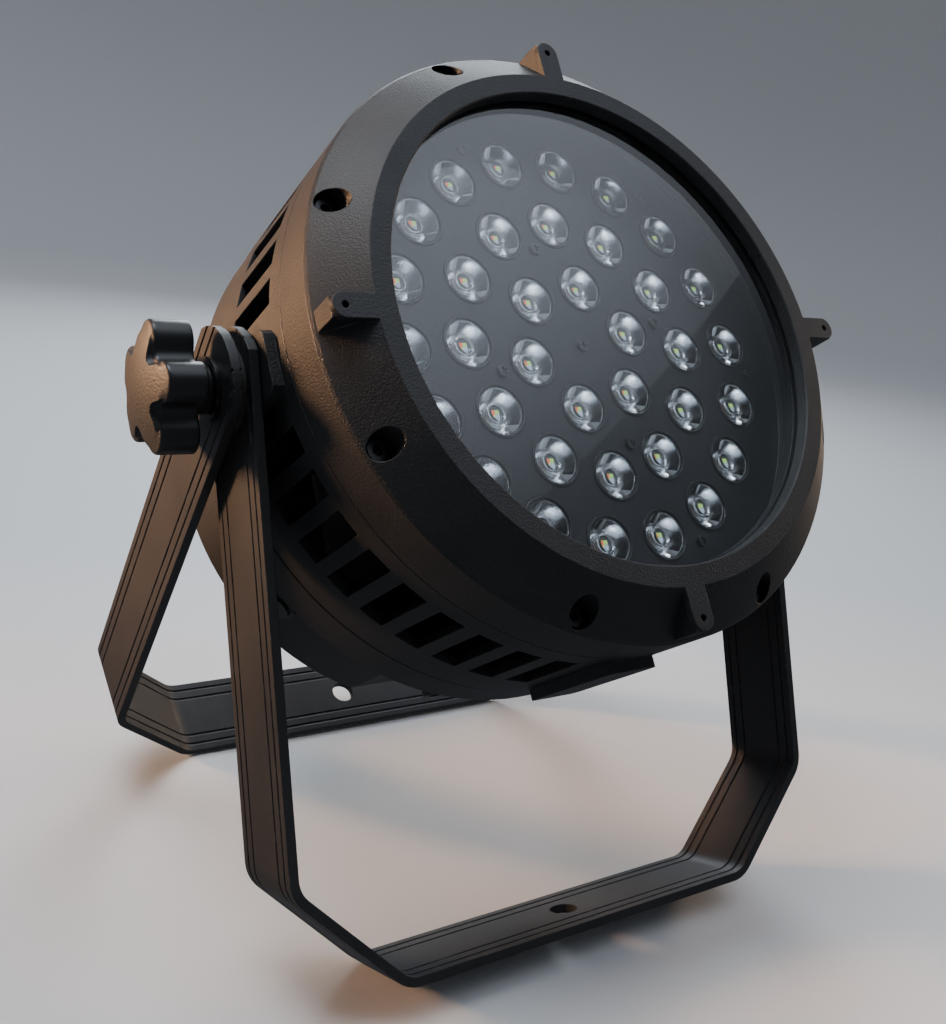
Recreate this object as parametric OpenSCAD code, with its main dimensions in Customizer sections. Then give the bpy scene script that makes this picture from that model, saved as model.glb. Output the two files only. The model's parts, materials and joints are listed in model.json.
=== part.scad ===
// Par can light on a double bracket.
// A round LED head hangs between two U brackets that share one pivot line.
// Millimetres, +Z up. The floor is Z = 0 and the lamp looks along -Y, tilted upwards.
// Inside the head modules Z is the lamp axis pointing forwards, Y is the top of the head.

/* [Stance] */
// Upward tilt of the lamp axis above the horizontal, degrees
tilt = 37; // [20:1:50]
// Lean of the front bracket away from upright, degrees
front_lean = 22; // [18:1:28]
// Lean of the rear bracket away from upright, degrees
rear_lean = 31; // [26:1:36]
// Clear air kept between faces that turn against each other
run_gap = 0.1; // [0.05:0.05:0.15]

/* [Brackets] */
// Length of the front bracket from the pivot line to the underside of its bar
front_leg = 248; // [235:1:260]
// Half of the outside width of the front bracket
front_half = 145.8; // [145.8:0.1:146.4]
// Half of the outside width of the rear bracket
rear_half = 154.4; // [154.4:0.1:155.4]
// Width of the bracket strip
strip_w = 43.5; // [40:0.5:46]
// Thickness of the bracket strip
strip_t = 4; // [4:0.1:4.2]
// Size of the sloping corner between leg and bar
corner = 48; // [42:1:54]
// Outside radius of each bend of the strip
bend_r = 16; // [12:1:22]
// Radius of the rounded top of each leg about the pivot
leg_top_r = 25; // [23:0.5:27]
// Width of the decorative grooves in the strip
groove_w = 1.3; // [0.8:0.1:1.6]
// Depth of the decorative grooves
groove_d = 0.6; // [0.4:0.1:0.8]
// Distance of the outer groove from the edge of the strip
groove_edge = 3.6; // [2.5:0.1:4.5]
// Distance of the inner groove from the edge of the strip
groove_inner = 9.2; // [8:0.1:10]
// Diameter of the clamp bolt hole in the middle of each bar
bar_hole_d = 13; // [10.5:0.5:14]

/* [Head] */
// Outside radius of the round housing
head_r = 136.4; // [135.6:0.2:136.6]
// Radius of the front opening
open_r = 108; // [106:0.5:108]
// Outside radius of the flat front ring
face_r = 117.6; // [116:0.2:119]
// Distance of the front ring ahead of the pivot line
face_z = 76; // [75:0.5:77]
// Distance of the rear edge of the conical flank ahead of the pivot line
cone_z = 59.4; // [58.5:0.1:60.5]
// Distance of the joint between bezel and housing ahead of the pivot line
joint_z = 36.4; // [35.5:0.1:37]
// Distance of the rear edge of the vented housing behind the pivot line
rim_z = 35.5; // [34:0.5:38]
// Distance of the step in the rear housing behind the pivot line
step_z = 60; // [56:1:62]
// Radius of the rear drum
drum_r = 125; // [124:0.2:125]
// Distance of the end of the rear drum behind the pivot line
drum_z = 115; // [112:1:120]
// Half height of the rear drum across its top and bottom flats
drum_flat = 111.3; // [110.6:0.1:112.4]

/* [Bezel details] */
// Radius of the circle of the four lug holes
lug_hole_circle_r = 130; // [129:0.5:130.5]
// Diameter of the lug holes
lug_hole_d = 3; // [2.5:0.1:3.4]
// Half width of a lug
lug_half_w = 5.2; // [4.6:0.1:6]
// Radius of the circle of the eight screw pockets
pocket_circle_r = 129.4; // [129:0.1:129.6]
// Diameter of the screw pockets
pocket_d = 11.6; // [11:0.1:12]

/* [Vents] */
// Number of vent windows in each quarter of the housing
windows_per_quarter = 9; // [7:1:9]
// Angle from the middle of a pad to the middle of the nearest window, degrees
window_start = 13.3; // [13:0.1:14]
// Width of a vent window
window_w = 12; // [9:0.5:12.5]
// Front end of the vent windows ahead of the pivot line
window_front = 25.5; // [24:0.5:26]
// Rear end of the vent windows behind the pivot line
window_rear = 14; // [10:0.5:16]

/* [Light engine] */
// Spacing of the rings of lenses
lens_ring = 30; // [29:0.25:30.5]
// Diameter of a lens
lens_d = 21.8; // [20.5:0.1:22]
// Front of the black mask plate ahead of the pivot line
mask_z = 46.5; // [46:0.1:47]

/* [Knobs] */
// Radius over the tips of the knob lobes
knob_r = 27; // [26:0.5:28]
// Length of the fluted part of the knob
knob_len = 16; // [14:0.5:18]
// Height of the dome on the knob
knob_dome = 4.5; // [3.5:0.5:5.5]
// Diameter of the clamping stud
stud_d = 10; // [8:0.5:10]

/* [Hidden] */
$fn = 96;
// a little extra so that cuts pass clean through
cut = 1;

pivot_h = front_leg * cos(front_lean) + strip_w / 2 * sin(front_lean);
rear_leg = (pivot_h - strip_w / 2 * sin(rear_lean)) / cos(rear_lean);

// the origin lies under the middle of the lamp: between the lowest lug and the tail of the rear cover
cover_t = 4;
seal_t = 1;
tail_z = drum_z + seal_t + cover_t;
lug_tip_r = lug_hole_circle_r + lug_half_w;
tail_corner = 0.8;
front_reach = face_z * cos(tilt) + lug_tip_r * sin(tilt);
cover_reach = tail_z * cos(tilt) + (drum_flat - tail_corner / 2) * sin(tilt);
eye_y = 84;
eye_ring_r = 10;
eye_wire_r = 2.6;
eye_stem = 4;
eye_z = tail_z + eye_stem + eye_ring_r;
eye_reach = eye_z * cos(tilt) + eye_y * sin(tilt) + eye_ring_r + eye_wire_r;
rear_reach = max(cover_reach, eye_reach);
pivot_y = (front_reach - rear_reach) / 2;

// pivot stack, from the housing pad outwards
pad_x = 141;
front_inner = front_half - strip_t;
rear_inner = rear_half - strip_t;
washer_t = 1.4;
washer_r = 15;
knob_x = rear_half + 2 * run_gap + washer_t;
collar_r = 10;
collar_len = 8.2;
stud_in_knob = 8;
stud_hole_d = stud_d + 0.2;
insert_d = stud_d + 0.1;
boss_x = 117;
boss_r = 13;
pad_half_w = 13.5;
pad_front = 29;
pad_rear = 33;
pad_corner = 2.5;

// bezel
lip_z = 70;
lug_hole_depth = 16;
glass_t = 4;
glass_r = 111.6;
seat_r = 112;
clamp_t = 3;
clamp_in_r = 107.4;
seal_in_r = 109;
bezel_back_z = joint_z + 0.4;
bezel_shell = 3.6;
seat_end_z = 62;
edge = 0.5;
screw_d = 5;
screw_free_d = 5.4;
screw_tap_d = 5.1;
screw_head_d = 8.5;
screw_head_h = 5;
hex_key = 4;
hex_depth = 2.6;
pocket_floor_z = 54;
pocket_base = 4;
screw_tip_z = 29;
screw_boss_r = 7;
screw_boss_circle_r = 128.6;

// housing
shell_t = 5;
flange_in_r = 120;
flange_z = 26.5;
quarter_step = (90 - 2 * window_start) / (windows_per_quarter - 1);
rear_flange_t = 8;
rear_flange_in_r = 122;

// rear housing
band_r = head_r - 0.5;
band_gap = 0.7;
rear_shell = 4;
step_in_r = 104;
rear_boss_r = 5.6;
rear_screw_circle = 129.4;
seal_inset = 3.4;
cover_screw_circle = 114;
cover_screw_d = 4;
cover_boss_r = 7.6;
cover_head_d = 8;
cover_head_h = 2.2;

// light engine
mask_t = 1.6;
mask_r = 119;
holder_d = 24;
holder_proud = 0.6;
holder_hole_d = 24.2;
board_top_z = 33.5;
board_t = 1.6;
board_r = 112;
sink_ped_r = 118;
sink_rim_r = 131;
sink_rim_t = 4.5;
fin_count = 36;
fin_t = 2.2;
fin_in_r = 40;
fin_out_r = 114;
fin_rear_z = 26;
emitter_w = 7;
emitter_t = 1;
die_w = 1.7;
die_gap = 0.4;
die_t = 0.25;
mask_screw_in = 48;
mask_screw_in_turn = 15.3;
mask_screw_out = 100.4;
mask_screw_out_turn = -7.4;
mask_screw_head_d = 5.6;
mask_screw_head_h = 1.6;
mask_screw_d = 3;
outer_ring_turn = 1.9;
inner_ring_turn = 14.8;

// power supply box and its feet, measured from the middle of the drum
psu_w = 140;
psu_d = 68;
psu_h = 40;
psu_low_y = -72;
psu_rear_z = 104;
psu_foot_x = 76;
psu_foot_w = 16;
psu_foot_d = 60;
psu_foot_t = 2;

// rear controls and sockets
panel_y = 38;
panel_w = 96;
panel_h = 46;
panel_t = 1.2;
panel_sink = 1;
display_w = 46;
display_h = 18;
display_y = 47;
display_t = 1;
button_d = 9;
button_y = 24;
button_pitch = 21;
button_proud = 1.6;
button_len = 5;
button_gap = 0.3;
button_travel = 1.2;
board_w = 116;
board_h = 60;
board_y = 8;
pillar_h = 10;
socket_x = 15;
socket_z1 = 77;
socket_z2 = 103;
socket_flange = 25;
socket_flange_t = 3;
socket_r = 10;
socket_out = 12;
socket_bore_r = 7.6;
socket_depth = 5;
well_r = 6.2;
well_depth = 4;
socket_in = 14;
pin_len = 3.8;
valve_turn = -145;
valve_z = 80;
valve_stem_d = 6;
valve_hex = 15;
valve_cap_d = 12;
valve_cap_t = 5;
eye_stem_d = 6;
eye_base_d = 14;
button_shoulder = 0.9;
switch_w = 6;
plunger_d = 3.5;

// ---------- frames ----------

module at_pivot() {
  translate([0, pivot_y, pivot_h])
    children();
}

// Z becomes the lamp axis, Y the top of the head
module head_frame() {
  at_pivot()
    rotate([90 - tilt, 0, 0])
      children();
}

// places children on the pivot line with Z pointing outwards; side is 1 for right, -1 for left
module on_side(side) {
  at_pivot()
    rotate([0, side * 90, 0])
      children();
}

module around(count, radius, turn = 0) {
  for (i = [0 : count - 1])
    rotate([0, 0, turn + i * 360 / count])
      translate([radius, 0, 0])
        children();
}

module tube(r_out, r_in, z_low, z_high) {
  translate([0, 0, z_low])
    difference() {
      cylinder(r = r_out, h = z_high - z_low);
      translate([0, 0, -cut])
        cylinder(r = r_in, h = z_high - z_low + 2 * cut);
    }
}

module disc(r, z_low, z_high) {
  translate([0, 0, z_low])
    cylinder(r = r, h = z_high - z_low);
}

// ---------- bezel and glass ----------

// side view of one lug: tongue in front, web sloping back onto the cone
module lug() {
  web_r = 135;
  web_z = 61;
  // the root stays inside the ring, clear of the mask wall below it
  root_z = seat_end_z + 0.8;
  tongue_t = 3;
  root_r = 112.5;
  web_half = 4.2;
  translate([root_r, -lug_half_w, face_z - tongue_t])
    cube([lug_hole_circle_r - root_r, 2 * lug_half_w, tongue_t]);
  translate([lug_hole_circle_r, 0, face_z - tongue_t])
    cylinder(r = lug_half_w, h = tongue_t, $fn = 48);
  rotate([90, 0, 0])
    translate([0, 0, -web_half])
      linear_extrude(2 * web_half)
        polygon([[root_r, face_z - 0.5], [root_r, root_z], [web_r, web_z],
          [web_r, face_z - tongue_t + 0.5], [web_r - 2, face_z - 0.5]]);
}

module front_bezel() {
  color([0.09, 0.09, 0.095])
    head_frame()
      difference() {
        union() {
          rotate_extrude()
            polygon([[open_r, lip_z], [open_r, face_z - edge], [open_r + edge, face_z],
              [face_r - edge, face_z], [face_r, face_z - edge],
              [head_r - 1, cone_z + 0.9], [head_r, cone_z - 0.6], [head_r, bezel_back_z],
              [head_r - bezel_shell, bezel_back_z], [head_r - bezel_shell, 53],
              [122.4, 58.9], [119, seat_end_z], [seat_r, seat_end_z], [seat_r, lip_z]]);
          around(8, screw_boss_circle_r, 22.5)
            disc(screw_boss_r, bezel_back_z, pocket_floor_z + pocket_base);
          around(4, 0)
            lug();
        }
        // pockets sunk into the cone for the screw heads
        around(8, pocket_circle_r, 22.5)
          disc(pocket_d / 2, pocket_floor_z, face_z + cut, $fn = 48);
        around(8, pocket_circle_r, 22.5)
          disc(screw_free_d / 2, bezel_back_z - cut, pocket_floor_z + cut, $fn = 32);
        // blind screw holes of the lugs run on into the cone
        around(4, lug_hole_circle_r)
          disc(lug_hole_d / 2, face_z - lug_hole_depth, face_z + cut, $fn = 32);
        // groove that holds the glass seal
        tube(glass_r, seal_in_r, lip_z - cut, lip_z + 1.2);
      }
}

// socket head cap screw, head on top, shank down to the tip
module cap_screw(seat_z, tip_z) {
  difference() {
    union() {
      disc(screw_head_d / 2, seat_z, seat_z + screw_head_h);
      disc(screw_d / 2, tip_z, seat_z + 0.5);
    }
    translate([0, 0, seat_z + screw_head_h - hex_depth])
      cylinder(d = hex_key / cos(30), h = hex_depth + cut, $fn = 6);
  }
}

module bezel_screws() {
  color([0.16, 0.16, 0.17])
    head_frame()
      around(8, pocket_circle_r, 22.5)
        cap_screw(pocket_floor_z, screw_tip_z);
}

module front_glass() {
  color([0.8, 0.85, 0.9, 0.35])
    head_frame()
      disc(glass_r, lip_z - glass_t, lip_z);
}

module glass_seal() {
  color([0.05, 0.05, 0.05])
    head_frame()
      tube(glass_r - 0.2, seal_in_r + 0.2, lip_z, lip_z + 1.1);
}

module glass_clamp_ring() {
  color([0.07, 0.07, 0.075])
    head_frame()
      tube(seat_r - 0.1, clamp_in_r, lip_z - glass_t - clamp_t, lip_z - glass_t);
}

// flat gasket between bezel and housing
module body_seal() {
  color([0.04, 0.04, 0.04])
    head_frame()
      tube(head_r - 1.2, head_r - bezel_shell + 0.4, joint_z, bezel_back_z);
}

// ---------- light engine ----------

// every place in the three rings that holds a lens
module at_lenses() {
  around(6, lens_ring, inner_ring_turn)
    children();
  around(12, 2 * lens_ring)
    children();
  around(18, 3 * lens_ring, outer_ring_turn)
    children();
}

module at_mask_screws() {
  children();
  around(4, mask_screw_in, mask_screw_in_turn)
    children();
  around(6, mask_screw_out, mask_screw_out_turn)
    children();
}

module mask_plate() {
  color([0.06, 0.06, 0.065])
    head_frame()
      difference() {
        union() {
          disc(mask_r, mask_z - mask_t, mask_z);
          // wall that closes the light chamber up to the bezel
          tube(mask_r, mask_r - 1.4, mask_z - mask_t, seat_end_z);
        }
        at_lenses()
          disc(holder_hole_d / 2, mask_z - mask_t - cut, mask_z + cut);
        at_mask_screws()
          disc(mask_screw_d / 2 + 0.1, mask_z - mask_t - cut, mask_z + cut);
      }
}

// pan head screws with a cross recess
module mask_screws() {
  cross_w = 0.7;
  cross_l = 3.2;
  color([0.12, 0.12, 0.13])
    head_frame()
      at_mask_screws()
        difference() {
          union() {
            disc(mask_screw_head_d / 2, mask_z, mask_z + mask_screw_head_h);
            disc(mask_screw_d / 2, board_top_z - 5, mask_z + 0.5);
          }
          for (turn = [0, 90])
            rotate([0, 0, turn])
              translate([-cross_l / 2, -cross_w / 2, mask_z + mask_screw_head_h - 1])
                cube([cross_l, cross_w, 2]);
        }
}

module lenses() {
  lens_back = board_top_z + 2;
  rim_z = mask_z - 2;
  lens_r = lens_d / 2;
  color([0.9, 0.93, 0.95, 0.5])
    head_frame()
      at_lenses()
        rotate_extrude()
          polygon([[0, lens_back + 3], [3, lens_back + 3], [3.8, lens_back], [4.8, lens_back],
            [lens_r - 0.7, rim_z], [lens_r - 0.1, rim_z], [lens_r - 0.1, mask_z - 0.1],
            [lens_r - 1, mask_z + 0.2], [0, mask_z + 0.2]]);
}

module lens_holders() {
  floor_t = 1.2;
  color([0.05, 0.05, 0.055])
    head_frame()
      at_lenses() {
        tube(holder_d / 2, lens_d / 2, board_top_z, mask_z + holder_proud);
        tube(lens_d / 2 + 0.2, emitter_w * 0.75, board_top_z, board_top_z + floor_t);
      }
}

// square package with four colour dies
module led_emitters() {
  step = (die_w + die_gap) / 2;
  color([0.85, 0.82, 0.7])
    head_frame()
      at_lenses() {
        translate([-emitter_w / 2, -emitter_w / 2, board_top_z])
          cube([emitter_w, emitter_w, emitter_t]);
        for (dx = [-1, 1], dy = [-1, 1])
          translate([dx * step - die_w / 2, dy * step - die_w / 2, board_top_z + emitter_t - 0.05])
            cube([die_w, die_w, die_t]);
      }
}

module led_board() {
  color([0.9, 0.9, 0.88])
    head_frame()
      difference() {
        disc(board_r, board_top_z - board_t, board_top_z);
        at_mask_screws()
          disc(mask_screw_d / 2 + 0.1, board_top_z - board_t - cut, board_top_z + cut);
      }
}

// pedestal under the board, rim under the housing flange, fins down into the vented part
module heat_sink() {
  sink_top = board_top_z - board_t;
  sink_low = flange_z - sink_rim_t;
  color([0.5, 0.5, 0.52])
    head_frame()
      difference() {
        union() {
          disc(sink_ped_r, sink_low, sink_top);
          disc(sink_rim_r, sink_low, flange_z);
          around(fin_count, fin_in_r, 180 / fin_count)
            translate([0, -fin_t / 2, -fin_rear_z])
              cube([fin_out_r - fin_in_r, fin_t, sink_low + fin_rear_z + 0.5]);
        }
        at_mask_screws()
          disc(mask_screw_d / 2 + 0.05, board_top_z - 6, sink_top + cut);
      }
}

// ---------- housing ----------

// proud block on the side of the housing; sits at radius x
module pad() {
  translate([head_r - shell_t + 0.5, -pad_half_w, 0])
    rotate([90, 0, 90])
      linear_extrude(pad_x - head_r + shell_t - 0.5)
        polygon([[0, -pad_rear + pad_corner], [pad_corner, -pad_rear],
          [2 * pad_half_w - pad_corner, -pad_rear], [2 * pad_half_w, -pad_rear + pad_corner],
          [2 * pad_half_w, pad_front - pad_corner], [2 * pad_half_w - pad_corner, pad_front],
          [pad_corner, pad_front], [0, pad_front - pad_corner]]);
}

module body_housing() {
  inner_r = head_r - shell_t;
  color([0.09, 0.09, 0.095])
    head_frame()
      difference() {
        union() {
          rotate_extrude()
            polygon([[flange_in_r, flange_z], [flange_in_r, joint_z],
              [head_r - 0.6, joint_z], [head_r, joint_z - 0.6],
              [head_r, -rim_z + 1], [head_r - 1, -rim_z],
              [rear_flange_in_r, -rim_z], [rear_flange_in_r, -rim_z + rear_flange_t],
              [inner_r, -rim_z + rear_flange_t + 3], [inner_r, flange_z]]);
          around(4, 0)
            pad();
          // threaded bosses behind the two pivot pads
          for (turn = [0, 180])
            rotate([0, 0, turn])
              translate([boss_x, 0, 0])
                rotate([0, 90, 0])
                  cylinder(r = boss_r, h = inner_r + 2.4 - boss_x);
        }
        for (quarter = [0 : 3], i = [0 : windows_per_quarter - 1])
          rotate([0, 0, 90 * quarter + window_start + i * quarter_step])
            translate([inner_r - 6, -window_w / 2, -window_rear])
              cube([20, window_w, window_rear + window_front]);
        around(8, pocket_circle_r, 22.5)
          disc(screw_tap_d / 2, screw_tip_z - 1, joint_z + cut);
        around(8, rear_screw_circle, 22.5)
          disc(screw_tap_d / 2, -rim_z - cut, -rim_z + 6);
        for (turn = [0, 180])
          rotate([0, 0, turn])
            translate([boss_x - cut, 0, 0])
              rotate([0, 90, 0])
                cylinder(d = insert_d, h = pad_x - boss_x + 2 * cut);
      }
}

// ---------- rear housing ----------

// outline of the drum: a circle cut by a flat above and below
module drum_outline(inset = 0) {
  intersection() {
    circle(r = drum_r - inset);
    square([2 * drum_r, 2 * (drum_flat - inset)], center = true);
  }
}

module socket_places() {
  for (sx = [-1, 1], z = [socket_z1, socket_z2])
    translate([sx * socket_x, -drum_flat, -z])
      rotate([90, 0, 0])
        children();
}

module rear_housing() {
  front_z = -rim_z - band_gap;
  color([0.08, 0.08, 0.085])
    head_frame()
      difference() {
        union() {
          rotate_extrude()
            polygon([[step_in_r, -step_z], [band_r - 1.8, -step_z], [band_r, -step_z + 1.8],
              [band_r, front_z - 0.6], [band_r - 0.6, front_z], [band_r - 5, front_z],
              [band_r - 5, -step_z + rear_shell], [step_in_r, -step_z + rear_shell]]);
          translate([0, 0, -drum_z])
            linear_extrude(drum_z - step_z + 0.5)
              drum_outline();
          around(8, rear_screw_circle, 22.5)
            disc(rear_boss_r, -step_z + 1, -rim_z);
        }
        difference() {
          translate([0, 0, -drum_z - cut])
            linear_extrude(drum_z - step_z + rear_shell + 2 * cut)
              drum_outline(rear_shell);
          around(8, cover_screw_circle, 22.5)
            disc(cover_boss_r, -drum_z - 2 * cut, -drum_z + 14);
        }
        around(8, cover_screw_circle, 22.5)
          disc(cover_screw_d / 2 + 0.05, -drum_z - cut, -drum_z + 10);
        around(8, rear_screw_circle, 22.5)
          disc(screw_free_d / 2, -step_z - cut, -rim_z + cut);
        socket_places()
          translate([0, 0, -rear_shell - cut])
            cylinder(r = socket_r - 1, h = rear_shell + 2 * cut);
        rotate([0, 0, valve_turn])
          translate([drum_r - 6, 0, -valve_z])
            rotate([0, 90, 0])
              cylinder(d = valve_stem_d + 0.2, h = 10);
      }
}

module rear_housing_screws() {
  color([0.16, 0.16, 0.17])
    head_frame()
      around(8, rear_screw_circle, 22.5)
        rotate([180, 0, 0])
          cap_screw(step_z, rim_z - 5);
}

module rear_seal() {
  color([0.04, 0.04, 0.04])
    head_frame()
      translate([0, 0, -drum_z - seal_t])
        linear_extrude(seal_t)
          difference() {
            drum_outline(0.6);
            drum_outline(seal_inset);
          }
}

module rear_cover() {
  color([0.085, 0.085, 0.09])
    head_frame()
      difference() {
        translate([0, 0, -tail_z])
          linear_extrude(cover_t)
            drum_outline(tail_corner / 2);
        // sunk field for the control panel
        translate([-panel_w / 2 - 0.3, panel_y - panel_h / 2 - 0.3, -tail_z - cut])
          cube([panel_w + 0.6, panel_h + 0.6, cut + panel_t + panel_sink]);
        // opening behind the display and holes for the buttons
        translate([-display_w / 2, display_y - display_h / 2, -tail_z])
          cube([display_w, display_h, cover_t + cut]);
        for (i = [-1.5 : 1 : 1.5])
          translate([i * button_pitch, button_y, -tail_z])
            cylinder(d = button_d + 3, h = cover_t + cut);
        around(8, cover_screw_circle, 22.5)
          disc(cover_screw_d / 2 + 0.1, -tail_z - cut, -tail_z + cover_t + cut);
        around(8, cover_screw_circle, 22.5)
          disc(cover_head_d / 2 + 0.2, -tail_z - cut, -tail_z + cover_head_h);
        translate([0, eye_y, -tail_z - cut])
          cylinder(d = eye_stem_d + 0.1, h = cover_t + 2 * cut);
      }
}

// low cylinder head screws sunk flush with the cover
module rear_cover_screws() {
  color([0.3, 0.3, 0.31])
    head_frame()
      around(8, cover_screw_circle, 22.5)
        difference() {
          union() {
            disc(cover_head_d / 2, -tail_z, -tail_z + cover_head_h);
            disc(cover_screw_d / 2, -tail_z + 1, -drum_z + 9);
          }
          translate([0, 0, -tail_z - cut])
            cylinder(d = 2.5 / cos(30), h = cut + 1.4, $fn = 6);
        }
}

// ---------- controls ----------

module control_panel() {
  color([0.13, 0.13, 0.14])
    head_frame()
      difference() {
        translate([-panel_w / 2, panel_y - panel_h / 2, -tail_z + panel_sink])
          cube([panel_w, panel_h, panel_t]);
        translate([-display_w / 2 + 2, display_y - display_h / 2 + 2, -tail_z])
          cube([display_w - 4, display_h - 4, 5]);
        for (i = [-1.5 : 1 : 1.5])
          translate([i * button_pitch, button_y, -tail_z])
            cylinder(d = button_d + 2 * button_gap, h = 5);
      }
}

module display_window() {
  color([0.2, 0.3, 0.35, 0.6])
    head_frame()
      translate([-display_w / 2 + 0.3, display_y - display_h / 2 + 0.3, -tail_z + panel_sink + panel_t])
        cube([display_w - 0.6, display_h - 0.6, display_t]);
}

// cap with a shoulder behind the panel that keeps it from falling out
module button(index) {
  head_frame()
    translate([(index - 1.5) * button_pitch, button_y, -tail_z + panel_sink - button_proud]) {
      cylinder(d = button_d, h = button_len);
      translate([0, 0, button_len - 1])
        cylinder(d = button_d + 2 * button_shoulder, h = 1);
    }
}

module button_menu() {
  color([0.2, 0.2, 0.21])
    button(0);
}

module button_down() {
  color([0.2, 0.2, 0.21])
    button(1);
}

module button_up() {
  color([0.2, 0.2, 0.21])
    button(2);
}

module button_enter() {
  color([0.2, 0.2, 0.21])
    button(3);
}

// round sealed socket: square flange, collar and an open bore for the plug
module socket() {
  difference() {
    union() {
      translate([-socket_flange / 2, -socket_flange / 2, 0])
        cube([socket_flange, socket_flange, socket_flange_t]);
      cylinder(r = socket_r, h = socket_out);
      translate([0, 0, -socket_in])
        cylinder(r = socket_r - 1.1, h = socket_in + cut);
    }
    translate([0, 0, socket_out - socket_depth])
      cylinder(r = socket_bore_r, h = socket_depth + cut);
    // narrower well round the contacts
    translate([0, 0, socket_out - socket_depth - well_depth])
      cylinder(r = well_r, h = well_depth + cut);
  }
}

module power_sockets() {
  color([0.12, 0.12, 0.13])
    head_frame()
      for (sx = [-1, 1])
        translate([sx * socket_x, -drum_flat, -socket_z1])
          rotate([90, 0, 0])
            socket();
}

module data_sockets() {
  color([0.12, 0.12, 0.13])
    head_frame()
      for (sx = [-1, 1])
        translate([sx * socket_x, -drum_flat, -socket_z2])
          rotate([90, 0, 0])
            socket();
}

// three contact pins in every socket
module socket_pins() {
  color([0.75, 0.65, 0.4])
    head_frame()
      socket_places()
        around(3, 3.6, 90)
          translate([0, 0, socket_out - socket_depth - well_depth])
            cylinder(d = 2, h = pin_len);
}

// pressure vent that keeps the sealed housing from drawing water
module breather_valve() {
  color([0.2, 0.2, 0.21])
    head_frame()
      rotate([0, 0, valve_turn])
        translate([drum_r, 0, -valve_z])
          rotate([0, 90, 0]) {
            translate([0, 0, -5])
              cylinder(d = valve_stem_d, h = 6);
            cylinder(d = valve_hex / cos(30), h = 3, $fn = 6);
            cylinder(d = valve_cap_d, h = valve_cap_t);
          }
}

// closed ring on a threaded stem for the safety wire
module safety_eye() {
  color([0.55, 0.55, 0.57])
    head_frame()
      translate([0, eye_y, -tail_z]) {
        translate([0, 0, -eye_stem - eye_ring_r])
          rotate([0, 90, 0])
            rotate_extrude()
              translate([eye_ring_r, 0])
                circle(r = eye_wire_r);
        translate([0, 0, -2])
          cylinder(d = eye_base_d, h = 2);
        translate([0, 0, -eye_stem])
          cylinder(d = eye_stem_d, h = eye_stem + cover_t + 5);
      }
}

// ---------- electronics ----------

module board_pillars() {
  color([0.7, 0.7, 0.68])
    head_frame()
      for (sx = [-1, 1], y = [board_y + 5, board_y + board_h - 5])
        translate([sx * (board_w / 2 - 5), y, -tail_z + cover_t])
          cylinder(d = 6, h = pillar_h);
}

// circuit board with a switch behind every button
module control_board() {
  board_low = -tail_z + cover_t + pillar_h;
  switch_low = -tail_z + panel_sink - button_proud + button_len + button_travel + 0.2;
  color([0.1, 0.3, 0.16])
    head_frame() {
      translate([-board_w / 2, board_y, board_low])
        cube([board_w, board_h, 1.6]);
      for (i = [-1.5 : 1 : 1.5])
        translate([i * button_pitch, button_y, 0]) {
          translate([-switch_w / 2, -switch_w / 2, board_low - 3.5])
            cube([switch_w, switch_w, 4]);
          translate([0, 0, switch_low])
            cylinder(d = plunger_d, h = board_low - switch_low);
        }
    }
}

// closed metal box on feet, fixed to the floor of the drum
module power_supply() {
  color([0.6, 0.61, 0.62])
    head_frame() {
      translate([-psu_w / 2, psu_low_y, -psu_rear_z])
        cube([psu_w, psu_d, psu_h]);
      for (sx = [-1, 1])
        translate([sx * psu_foot_x - psu_foot_w / 2, psu_low_y + 4, psu_h - psu_rear_z - psu_foot_t])
          cube([psu_foot_w, psu_foot_d, psu_foot_t]);
    }
}

// ---------- brackets ----------

// area enclosed by the outside of a bracket seen from the front, moved inwards by inset;
// x across, y up, pivot line at y = 0
module bracket_area(half, leg, inset) {
  shift = bend_r * tan(22.5);
  x_out = half - inset;
  y_low = -leg + inset;
  near = inset * tan(22.5);
  r = bend_r - inset;
  // bend centres keep their place for every inset
  cx1 = half - bend_r;
  cy1 = -leg + corner + shift;
  cx2 = half - corner - shift;
  cy2 = -leg + bend_r;
  union() {
    polygon([[-x_out, 40], [-x_out, cy1], [-cx1 - r * cos(45), cy1 - r * sin(45)],
      [-cx2 - r * cos(45), cy2 - r * sin(45)], [-cx2, y_low],
      [cx2, y_low], [cx2 + r * cos(45), cy2 - r * sin(45)],
      [cx1 + r * cos(45), cy1 - r * sin(45)], [x_out, cy1], [x_out, 40]]);
    for (side = [-1, 1]) {
      translate([side * cx1, cy1])
        circle(r = r);
      translate([side * cx2, cy2])
        circle(r = r);
    }
  }
}

// the strip between two insets, w_low to w_high across its width
module bracket_strip(half, leg, from, to, w_low, w_high) {
  rotate([90, 0, 0])
    translate([0, 0, w_low])
      linear_extrude(w_high - w_low)
        difference() {
          bracket_area(half, leg, from);
          bracket_area(half, leg, to);
        }
}

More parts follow.
